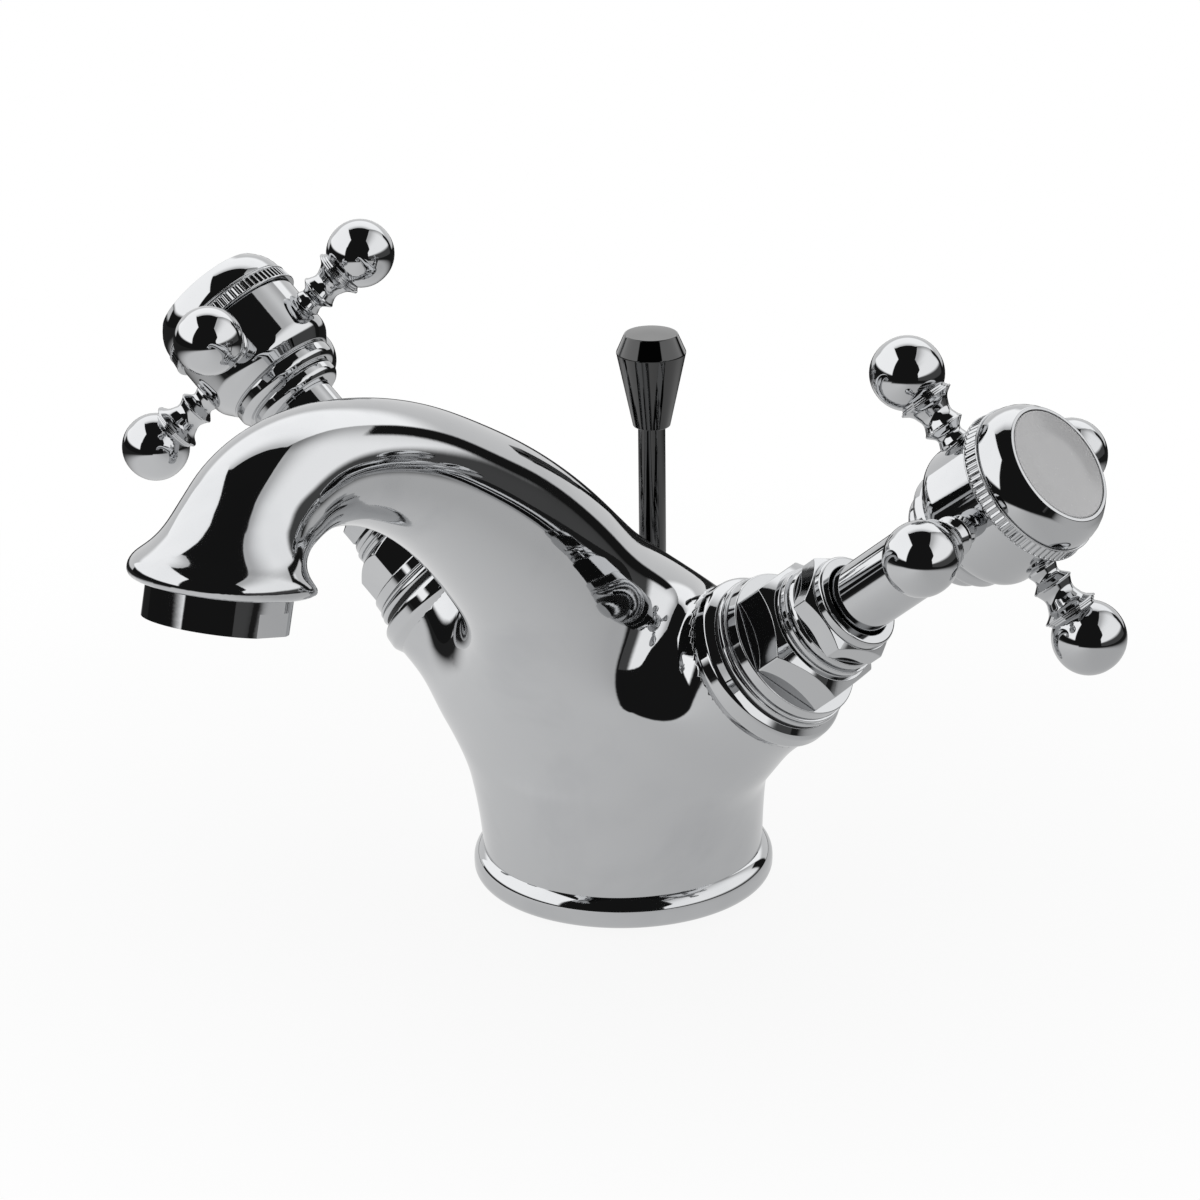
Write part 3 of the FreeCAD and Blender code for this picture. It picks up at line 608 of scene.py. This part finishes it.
def hubRows(hub):
    size = hub["round"]
    return [
        (hub["tubeBore"], hub["tailEnd"], eased),
        (hub["tailR"] - hub["face"], hub["tailEnd"], 0.5 * size),
        (hub["tailR"], hub["tailEnd"] + 0.7 * size, size),
        (hub["tailR"], hub["beadEnd"] - 0.5 * size, size),
        (hub["tailR"] - hub["nick"], hub["beadEnd"], fitted),
        (hub["beadR"] - hub["face"], hub["beadEnd"], 0.5 * size),
        (hub["beadR"], hub["beadEnd"] + 0.7 * size, size),
        (hub["beadR"], hub["rear"] - 0.5 * size, size),
        (hub["beadR"] - hub["nick"], hub["rear"], fitted),
        (hub["rearR"], hub["rear"], 0.5 * size),
        (hub["barrelR"], hub["shoulder"], hub["shoulderSoft"]),
        (hub["barrelR"], hub["front"], eased),
        (hub["capBore"], hub["front"], fitted),
        (hub["capBore"], hub["capSeat"], fitted),
        (hub["headBore"], hub["capSeat"], fitted),
        (hub["headBore"], hub["headSeat"], fitted),
        (hub["bore"], hub["headSeat"], fitted),
        (hub["bore"], hub["tubeSeat"], fitted),
        (hub["tubeBore"], hub["tubeSeat"], fitted),
    ]


# cap: spigot, knurled band between two plain edges, dome and the recess of the index disc
capSizes = {
    "spigotR": 7.6, "spigotLow": 3.65, "back": 6.42, "backR": 14.05, "front": 9.4, "frontR": 13.75,
    "plain": 0.34, "edge": 0.15, "teeth": 72, "samples": 10, "cut": 0.3, "ribPower": 1.3, "sunk": 0.08,
    "lineR": 13.2, "line": 0.12, "domeLow": 0.2, "domeR": 13.45, "domeTop": 15.05, "domeEdgeR": 10.95,
    "bulgeIn": 0.15, "bulgeDown": 2.8, "bulgeSoft": 7.0, "recessR": 10.36, "recess": 13.65, "fine": 10.0,
}


def capRows(cap, angle):
    # the knurl lowers the band's radius by cut times ((1 - cos(teeth a)) / 2) ^ ribPower, for round ribs
    groove = cap["sunk"] + cap["cut"] * (0.5 - 0.5 * np.cos(cap["teeth"] * angle)) ** cap["ribPower"]
    plain, bevel = cap["plain"], 1.3 * cap["plain"]
    return spreadRows([
        (0.0, cap["spigotLow"], 0.0),
        (cap["spigotR"], cap["spigotLow"], eased),
        (cap["spigotR"], cap["back"], fitted),
        (cap["backR"], cap["back"], cap["edge"]),
        (cap["backR"], cap["back"] + plain, fitted),
        (cap["backR"] - groove, cap["back"] + bevel, fitted),
        (cap["frontR"] - groove, cap["front"] - bevel, fitted),
        (cap["frontR"], cap["front"] - plain, fitted),
        (cap["frontR"], cap["front"], cap["edge"]),
        (cap["lineR"], cap["front"], crisp),
        (cap["lineR"], cap["front"] + cap["line"], crisp),
        (cap["domeR"], cap["front"] + cap["domeLow"], cap["edge"]),
        (cap["domeR"] - cap["bulgeIn"], cap["domeTop"] - cap["bulgeDown"], cap["bulgeSoft"]),
        (cap["domeEdgeR"], cap["domeTop"], full),
        (cap["recessR"], cap["domeTop"], fitted),
        (cap["recessR"], cap["recess"], fitted),
        (0.0, cap["recess"], 0.0),
    ], angle)


# index disc: flat sided, its face a shallow dome
indexSizes = {"r": 10.3, "low": 13.66, "edge": 14.98, "edgeSoft": 0.35, "crest": 15.38,
              "midShare": 0.55, "midDown": 0.03, "midSoft": 40.0}


def indexRows(disc):
    return [
        (0.0, disc["low"], 0.0),
        (disc["r"], disc["low"], fitted),
        (disc["r"], disc["edge"], disc["edgeSoft"]),
        (disc["midShare"] * disc["r"], disc["crest"] - disc["midDown"], disc["midSoft"]),
        (0.0, disc["crest"], 0.0),
    ]


halfSide = math.pi / 6  # angle from the middle of a hexagon's side to its corner


def hexCorner(nut):  # how far out a corner's arc is centred, and the angle to either side at which it ends
    rounding = nut["rounding"]
    centre = (nut["across"] / 2 - rounding) / math.cos(halfSide)
    return centre, math.atan2(rounding * math.sin(halfSide), centre + rounding * math.cos(halfSide))


def hexRadius(nut, angle):
    # distance from the axis to a hexagon with round corners: half the width over the cosine on a flat,
    # and by the law of cosines on a corner's arc
    centre, arcEnd = hexCorner(nut)
    away = np.abs((angle - math.radians(nut["turn"]) + halfSide) % (2 * halfSide) - halfSide)
    rest = nut["rounding"] ** 2 - (centre * np.sin(away)) ** 2
    arc = centre * np.cos(away) + np.sqrt(np.maximum(rest, 0.0))
    return np.where(away < arcEnd, arc, nut["across"] / 2 / np.cos(halfSide - away))


def hexAngles(nut, cornerPoints=9, flatPoints=16, gap=1.2):
    # angles of one round, close together at the corners
    arcEnd = hexCorner(nut)[1]
    corner = np.linspace(-arcEnd, arcEnd, cornerPoints)
    flat = np.linspace(gap * arcEnd, 2 * halfSide - gap * arcEnd, flatPoints)
    side = np.concatenate([corner, flat])
    return (math.radians(nut["turn"]) + side + 2 * halfSide * np.arange(6)[:, None]).ravel()


def hexShell(nut, place):
    # side wall up to the cone that turns the corners down, then in along the cone
    angle = hexAngles(nut)
    wall = hexRadius(nut, angle)
    rows = [
        (nut["bore"], nut["low"], crisp),
        (wall, nut["low"], eased),
        (wall, nut["high"] - nut["slope"] * (wall - nut["topR"]), full),
        (nut["topR"], nut["high"], eased),
        (nut["bore"], nut["high"], crisp),
    ]
    return turnedShell(spreadRows(rows, angle), place, angle, True)


# bonnet: stepped collar on the rim, large hexagon, grooved neck and the barrel inside the arm
bonnetNut = {"across": 23.4, "turn": 34.0, "rounding": 0.5, "low": -52.66, "high": -45.6, "topR": 11.0,
             "slope": 0.7, "bore": 8.3}
bonnetSizes = {
    "seat": -57.0, "lowR": 14.9, "lowTop": -55.7, "midR": 14.5, "midTop": -54.9, "skirtR": 14.1,
    "skirtTop": -52.7, "skirtLean": 0.15, "line": 0.16, "bevel": 0.35, "bulge": 0.8, "midCut": 0.6,
    "skirtCut": 0.5, "neckR": 10.6, "neckTop": -43.42, "neckLine": -44.6, "neckCut": 0.45, "cutHalf": 0.15,
    "mouthHalf": 0.25, "neckEdge": 0.12, "barrelR": 10.45, "threadEnd": -66.0, "tailR": 9.4,
    "barrelEnd": -77.0, "bore": 8.3,
}


def bonnetShells(size, place):
    line, neckLine = size["line"], size["neckLine"]
    collar = [
        (size["bore"], size["seat"], crisp),
        (size["lowR"] - size["bevel"], size["seat"], full),
        (size["lowR"], (size["seat"] + size["lowTop"]) / 2, size["bulge"]),
        (size["lowR"] - size["bevel"], size["lowTop"] - line, eased),
        (size["midR"] - size["midCut"], size["lowTop"], crisp),
        (size["midR"], size["lowTop"] + line, eased),
        (size["midR"], size["midTop"] - line, eased),
        (size["skirtR"] - size["skirtCut"], size["midTop"], crisp),
        (size["skirtR"], size["midTop"] + line, eased),
        (size["skirtR"] - size["skirtLean"], size["skirtTop"], full),
        (size["bore"], size["skirtTop"], crisp),
    ]
    neck = [
        (size["bore"], bonnetNut["high"] - lap, crisp),
        (size["neckR"], bonnetNut["high"] - lap, crisp),
        (size["neckR"], neckLine - size["mouthHalf"], size["neckEdge"]),
        (size["neckR"] - size["neckCut"], neckLine - size["cutHalf"], crisp),
        (size["neckR"] - size["neckCut"], neckLine + size["cutHalf"], crisp),
        (size["neckR"], neckLine + size["mouthHalf"], size["neckEdge"]),
        (size["neckR"], size["neckTop"], eased),
        (size["bore"], size["neckTop"], crisp),
    ]
    barrel = [
        (size["bore"], size["barrelEnd"], fitted),
        (size["tailR"], size["barrelEnd"], eased),
        (size["tailR"], size["threadEnd"], fitted),
        (size["barrelR"], size["threadEnd"], eased),
        (size["barrelR"], size["seat"] + lap, crisp),
        (size["bore"], size["seat"] + lap, crisp),
    ]
    turned = [turnedShell(rows, place, 160, True) for rows in (collar, neck, barrel)]
    return turned + [hexShell(bonnetNut, place)]


# gland nut: round flange, small hexagon and the collar round the shroud
glandNut = {"across": 18.2, "turn": 2.0, "rounding": 0.4, "low": -41.78, "high": -37.6, "topR": 8.95,
            "slope": 0.7, "bore": 7.55}
glandSizes = {"low": -43.4, "flangeR": 10.2, "flangeTop": -41.8, "bevel": 0.35, "bulge": 0.7,
              "collarR": 8.8, "top": -35.8, "topSoft": 0.6, "mouthR": 6.8, "mouthSoft": 0.25}


def glandShells(size, place):
    flange = [
        (glandNut["bore"], size["low"], crisp),
        (size["flangeR"] - size["bevel"], size["low"], eased),
        (size["flangeR"], (size["low"] + size["flangeTop"]) / 2, size["bulge"]),
        (size["flangeR"] - size["bevel"], size["flangeTop"], eased),
        (glandNut["bore"], size["flangeTop"], crisp),
    ]
    collar = [
        (size["mouthR"], glandNut["high"] - lap, crisp),
        (size["collarR"], glandNut["high"] - lap, crisp),
        (size["collarR"], size["top"], size["topSoft"]),
        (size["mouthR"], size["top"], size["mouthSoft"]),
    ]
    turned = [turnedShell(rows, place, 128, True) for rows in (flange, collar)]
    return turned + [hexShell(glandNut, place)]


for side in ("cold", "hot"):
    still = valvePlace(side)
    cross = still @ Matrix.Rotation(math.radians(crossTurn[side]), 4, "Z")
    handle = side + "_handle"
    for k in range(4):
        lay = Matrix.Rotation(math.radians(90 * k), 4, "Z") @ Matrix.Rotation(math.radians(90), 4, "Y")
        arm = turnedShell(armRows(handleArm), cross @ lay, 96)
        addPiece(f"{side}Arm{k + 1}", [arm], turnedChrome, handle, "chrome", f"{side}_arm_{k + 1}")
    hub = turnedShell(hubRows(hubSizes), cross, 160, True)
    addPiece(side + "Hub", [hub], turnedChrome, handle, "chrome", side + "_hub")
    ribs = capSizes["teeth"] * capSizes["samples"]
    ribAngle = np.arange(ribs) * (2 * math.pi / ribs)
    cap = turnedShell(capRows(capSizes, ribAngle), cross, ribAngle, fine=capSizes["fine"])
    addPiece(side + "Cap", [cap], turnedChrome, handle, "chrome", side + "_cap")
    disc = turnedShell(indexRows(indexSizes), cross, 160)
    addPiece(side + "Index", [disc], finishes["index_glaze"], handle, "index_glaze", side + "_index")
    bonnet = bonnetShells(bonnetSizes, still)
    addPiece(side + "Bonnet", bonnet, turnedChrome, "mixer", "chrome", side + "_bonnet")
    gland = glandShells(glandSizes, still)
    addPiece(side + "GlandNut", gland, turnedChrome, "mixer", "chrome", side + "_gland_nut")
print("handles and valves turned")

liftPlace = Matrix.Translation((0.0, 10.6 * mm, 0.0))  # the rod stands behind the spout

# lift knob: cone, bevel and a slightly domed top
knobSizes = {"low": 85.0, "lowR": 3.4, "lowSoft": 0.25, "wide": 99.1, "wideR": 6.4, "wideSoft": 0.5,
             "top": 102.8, "topR": 4.85, "topSoft": 0.4, "dome": 0.15}


def knobRows(knob):
    return [
        (0.0, knob["low"], 0.0),
        (knob["lowR"], knob["low"], knob["lowSoft"]),
        (knob["wideR"], knob["wide"], knob["wideSoft"]),
        (knob["topR"], knob["top"] - knob["dome"], knob["topSoft"]),
        (0.0, knob["top"], 0.0),
    ]


# lift rod: plain bar up into the knob
rodSizes = {"low": 40.0, "top": 85.1, "r": 2.5}


def rodRows(rod):
    return [
        (0.0, rod["low"], 0.0),
        (rod["r"], rod["low"], full),
        (rod["r"], rod["top"], crisp),
        (0.0, rod["top"], 0.0),
    ]


# bush: sleeve in the casting round the rod
bushSizes = {"low": 44.0, "top": 56.5, "r": 4.2, "bore": 2.8, "topSoft": 0.8}


def bushRows(bush):
    return [
        (bush["bore"], bush["low"], fitted),
        (bush["r"], bush["low"], fitted),
        (bush["r"], bush["top"], bush["topSoft"]),
        (bush["bore"], bush["top"], full),
    ]


knob = turnedShell(knobRows(knobSizes), liftPlace, 128)
addPiece("liftKnob", [knob], darkChrome, "lift_rod", "chrome", "lift_knob")
rod = turnedShell(rodRows(rodSizes), liftPlace, 96)
addPiece("liftRod", [rod], darkChrome, "lift_rod", "chrome", "lift_rod")
bush = turnedShell(bushRows(bushSizes), liftPlace, 96, True)
addPiece("rodBush", [bush], turnedChrome, "mixer", "chrome", "rod_bush")
print("lift rod, knob and bush turned")

view = {
    "turn": 34.622,          # degrees from straight in front, towards the cold handle
    "rise": 21.074,          # degrees above the level
    "roll": -0.7,            # degrees
    "away": 0.784602,        # metres
    "target": (0.0, -0.006728, 0.056356),
    "lens": 129.15,          # mm, as the sensor
    "sensor": 36.0,
}
viewTurn = math.radians(view["turn"])
viewFront = (math.sin(viewTurn), -math.cos(viewTurn), 0.0)  # level, from the object to the camera's side
viewRight = (math.cos(viewTurn), math.sin(viewTurn), 0.0)


def placeCamera():
    rise = math.radians(view["rise"])
    roll = math.radians(view["roll"])
    back = Vector((viewFront[0] * math.cos(rise), viewFront[1] * math.cos(rise), math.sin(rise)))
    right = Vector(viewRight)
    up = back.cross(right)
    across = right * math.cos(roll) + up * math.sin(roll)
    upward = up * math.cos(roll) - right * math.sin(roll)
    data = bpy.data.cameras.new("photo camera")
    data.lens = view["lens"]
    data.sensor_width = view["sensor"]
    camera = bpy.data.objects.new("photo camera", data)
    turned = Matrix((across, upward, back)).transposed().to_4x4()
    camera.matrix_world = Matrix.Translation(Vector(view["target"]) + back * view["away"]) @ turned
    scene.collection.objects.link(camera)
    scene.camera = camera


# softboxes on three walls; a place on a wall is a slope: distance along or up, over distance out to the
# wall; a fade is a direction, where it starts and ends, and the share of the glow at either
panels = {
    "left": {
        "glow": 1.5, "along": (-1.15, 0.85), "high": (0.13, 1.85),
        "fades": [("high", 1.5, 3.0, 1.0, 0.5)],
    },
    "right": {
        "glow": 1.35, "along": (-0.66, 1.8), "high": (-0.2, 2.3),
        "widen": (0.5, 0.8, 0.0, 0.5),  # between these heights it comes to reach further back
        "fades": [("high", 0.7, 2.0, 1.0, 0.5), ("along", -0.4, -1.0, 1.0, 0.5),
                  ("high", 0.05, 0.2, 0.06, 1.0)],
    },
    "back": {
        "glow": 1.5, "along": (-1.15, 0.97), "high": (-0.15, 2.6),
        "fades": [("high", 1.2, 2.6, 1.0, 0.5), ("high", 0.34, 0.54, 0.55, 1.0)],
    },
}
studio = {
    "dim": 0.012,            # dark room between the panels
    "edge": 0.05,            # softness of a panel's edge
    "graze": 0.02,           # rays that hardly near a wall don't see its panel
    "nearest": 0.001,
}
white = (1.0, 1.0, 1.0, 1.0)
black = (0.0, 0.0, 0.0, 1.0)


def rayIs(flow, kind):  # 1 for rays of that kind
    return flow.node("ShaderNodeLightPath", out=f"Is {kind} Ray")


def band(place, ends):  # 1 between two soft ends
    edge = studio["edge"]
    return place.ease(ends[0] - edge, ends[0] + edge) * place.ease(ends[1] + edge, ends[1] - edge)


def panelGlow(box, along, high):
    # one soft-edged rectangle on a wall, in that wall's own coordinates, with its fades
    place = {"along": along, "high": high}
    if "widen" in box:
        along = along + high.ease(*box["widen"])
    glow = box["glow"] * band(along, box["along"]) * band(high, box["high"])
    for name, *fade in box["fades"]:
        glow = glow * place[name].ease(*fade)
    return glow


def makeStudio():
    # three softboxes as seen by metal, the brightest counts; a camera ray sees plain white
    world = bpy.data.worlds.new("studio")
    world.use_nodes = True
    world.node_tree.nodes.clear()
    scene.world = world
    flow = Flow(world.node_tree)
    ray = flow.node("ShaderNodeTexCoord", out="Generated")
    front, right = ray.dot(viewFront), ray.dot(viewRight)
    up = flow.node("ShaderNodeSeparateXYZ", None, {0: ray}, out="Z")
    glow = studio["dim"]
    for name, toward, along in (("left", -right, front), ("right", right, front), ("back", -front, right)):
        reach = flow.math("MAXIMUM", toward, studio["nearest"])
        lit = panelGlow(panels[name], along / reach, up / reach) * toward.ease(0.0, studio["graze"])
        glow = flow.math("MAXIMUM", glow, lit)
    seen = flow.math("MAXIMUM", rayIs(flow, "Camera"), rayIs(flow, "Transmission"))
    shade = flow.node("ShaderNodeBackground", None, {"Color": seen.tint(glow, white)})
    flow.node("ShaderNodeOutputWorld", None, {"Surface": shade})


floorSheet = {
    "radius": 0.62, "drop": 0.0002, "rings": 40, "sides": 96,
    "pale": (0.8, 0.8, 0.8, 1.0), "cloud": (0.78, 0.78, 0.78, 1.0), "cloudScale": 8.0, "cloudDetail": 3.0,
    "near": 0.03, "white": 0.24, "shine": 0.9,  # to the camera it glows, fully from white outwards
    "paintedPoolGlow": 0.76, "paintedPoolDark": 0.02, "paintedPoolNear": 0.24, "paintedPoolFar": 0.4,  # in metal it glows as a painted pool of light that ends darkly
    "ahead": 0.15, "paintedSideSpread": 0.12, "paintedSideLight": (1.13, 0.83),  # and, as painted light, is brighter towards the left softbox
}


def makeFloor():
    # flat round floor disc, polar grid of ring and angle; keeps the shadow near the object, ends in pure white; to
    # metal rays it glows with a painted pool of light
    sides = floorSheet["sides"]
    ring = np.linspace(0.0, 1.0, floorSheet["rings"] + 1)[1:, None] * floorSheet["radius"]
    angle = np.linspace(0.0, 2 * math.pi, sides, endpoint=False)[None, :]
    flat = 0 * ring * angle - floorSheet["drop"]
    points = np.stack([ring * np.cos(angle), ring * np.sin(angle), flat], -1)
    points = np.concatenate([points.reshape(-1, 3), [[0.0, 0.0, -floorSheet["drop"]]]])
    first = np.arange(sides)
    after = (first + 1) % sides
    inner = np.stack([np.full(sides, len(points) - 1), first, after], -1)
    row = np.arange(floorSheet["rings"] - 1)[:, None] * sides
    quads = np.stack([row + first, row + sides + first, row + sides + after, row + after], -1)
    mesh = bpy.data.meshes.new("floor")
    mesh.from_pydata(points.tolist(), [], inner.tolist() + quads.reshape(-1, 4).tolist())
    floor = bpy.data.objects.new("floor", mesh)
    scene.collection.objects.link(floor)
    material, flow = startMaterial("pale floor")
    place = objectPlace(flow)
    camera = rayIs(flow, "Camera")
    metal = rayIs(flow, "Glossy") + rayIs(flow, "Transmission")
    far = flow.node("ShaderNodeVectorMath", {"operation": "LENGTH"}, {0: place}, out=1)
    shadow = 1 - far.ease(floorSheet["near"], floorSheet["white"])
    shine = camera * (1 - (1 - floorSheet["shine"]) * shadow)
    shine = flow.math("MINIMUM", shine + metal, 1.0)
    grain = noise(flow, place, floorSheet["cloudScale"], floorSheet["cloudDetail"])
    paper = grain.tint(floorSheet["pale"], floorSheet["cloud"])
    matt = flow.node("ShaderNodeBsdfDiffuse", None, {"Color": paper})
    # painted pool of light: emission that only metal rays see, brightest round a point ahead of the object and
    # fading to dark further out
    ahead = [floorSheet["ahead"] * part for part in viewFront]
    reach = flow.node("ShaderNodeVectorMath", {"operation": "DISTANCE"}, {0: place, 1: ahead}, out=1)
    paintedPool = reach.ease(floorSheet["paintedPoolFar"], floorSheet["paintedPoolNear"],
                       floorSheet["paintedPoolDark"], floorSheet["paintedPoolGlow"])
    # painted light: the glow that metal sees is brighter towards the left softbox and dimmer to the right
    paintedSideSpread = floorSheet["paintedSideSpread"]
    paintedPool = paintedPool * place.dot(viewRight).ease(-paintedSideSpread, paintedSideSpread, *floorSheet["paintedSideLight"])
    # white emission for camera rays, the painted pool of light for metal rays
    glow = flow.math("MAXIMUM", camera, paintedPool).tint(black, white)
    backdropAndPaintedGlow = flow.node("ShaderNodeEmission", None, {"Color": glow})
    endMaterial(flow, flow.node("ShaderNodeMixShader", None, {0: shine, 1: matt, 2: backdropAndPaintedGlow}))
    dress(floor, material)


placeCamera()
makeStudio()
makeFloor()
print("camera, studio and floor placed")
